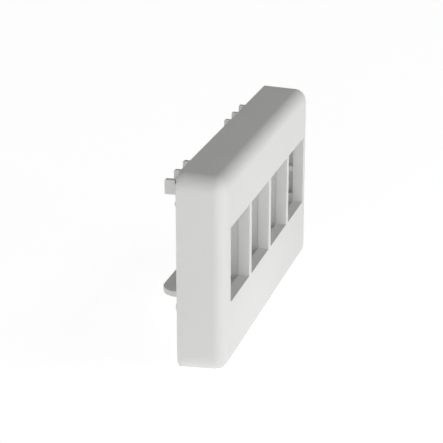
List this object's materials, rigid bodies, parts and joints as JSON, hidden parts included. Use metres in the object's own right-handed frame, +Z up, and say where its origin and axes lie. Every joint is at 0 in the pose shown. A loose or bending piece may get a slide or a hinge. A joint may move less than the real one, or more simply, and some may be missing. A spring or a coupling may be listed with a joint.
{
  "type": "keystone faceplate",
  "caption": "Snap-in furniture faceplate: rounded rectangular bezel with a row of keystone jack openings, thin fixed hooks along the top and a sprung latch tongue at the back",
  "frame": {"origin": "Centre of the plane in which the bezel's back rim seats on the panel, midway along and midway up the bezel.", "axes": "+X along the row of openings, to the right seen from the front; +Y backwards into the panel; +Z up, towards the hooks."},
  "size_m": [0.0736, 0.0217, 0.042],
  "materials": {
    "faceplate": "fine matte moulded plastic, near white"
  },
  "bodies": {
    "root": {"faceplate": "faceplate"}
  },
  "joints": []
}
